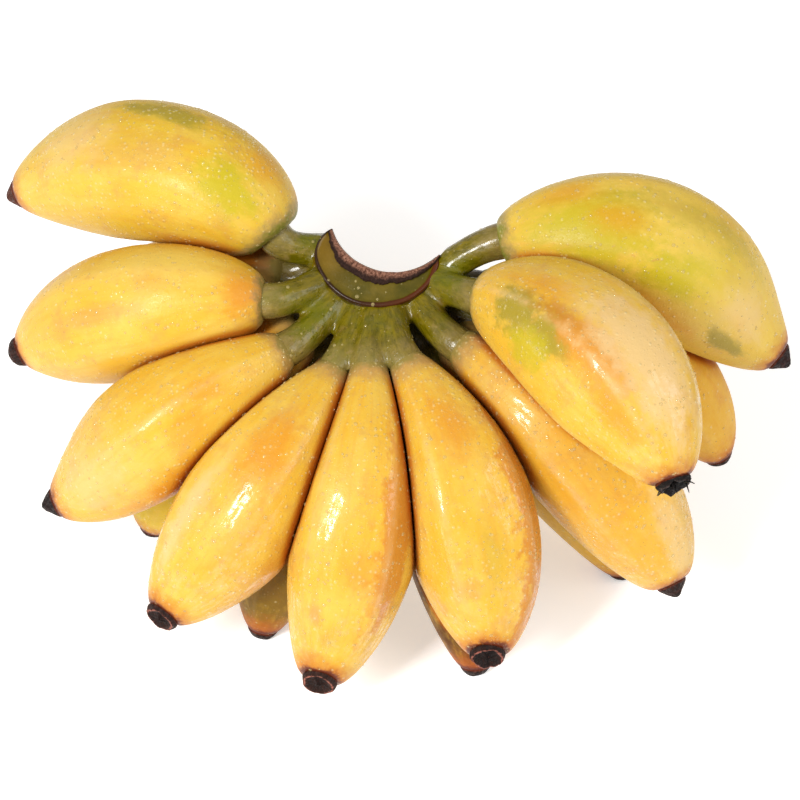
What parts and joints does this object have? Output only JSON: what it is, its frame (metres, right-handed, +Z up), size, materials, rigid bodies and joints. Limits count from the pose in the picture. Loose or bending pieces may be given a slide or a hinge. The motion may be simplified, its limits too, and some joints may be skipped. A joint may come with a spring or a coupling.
{
  "type": "hand of bananas",
  "caption": "Natural hand of short plump bananas in two rows on one green crown with a cut face, lying hollow side down on its dried flower ends.",
  "frame": {"origin": "middle of the underside of the hand's box, on the surface that it lies on", "axes": "+X to the right along the spread of the fruits, -Y to the front where the middle fruits point, +Z up"},
  "size_m": [0.2752, 0.1882, 0.1342],
  "materials": {
    "skin": "waxy satin skin, yellow with green and orange patches, wet with fine dew",
    "crown": "smooth olive green stalks, damp, with a brown rim and a fibrous cut face",
    "flower_end": "dry, dark brown and fibrous"
  },
  "bodies": {
    "root": {"crown": "crown", "banana_upper_1": "skin", "flower_end_upper_1": "flower_end", "banana_upper_2": "skin", "flower_end_upper_2": "flower_end", "banana_upper_3": "skin", "flower_end_upper_3": "flower_end", "banana_upper_4": "skin", "flower_end_upper_4": "flower_end", "banana_upper_5": "skin", "flower_end_upper_5": "flower_end", "banana_upper_6": "skin", "flower_end_upper_6": "flower_end", "banana_upper_7": "skin", "flower_end_upper_7": "flower_end", "banana_upper_8": "skin", "flower_end_upper_8": "flower_end", "banana_upper_9": "skin", "flower_end_upper_9": "flower_end", "banana_lower_1": "skin", "flower_end_lower_1": "flower_end", "banana_lower_2": "skin", "flower_end_lower_2": "flower_end", "banana_lower_3": "skin", "flower_end_lower_3": "flower_end", "banana_lower_4": "skin", "flower_end_lower_4": "flower_end", "banana_lower_5": "skin", "flower_end_lower_5": "flower_end", "banana_lower_6": "skin", "flower_end_lower_6": "flower_end"}
  },
  "joints": []
}
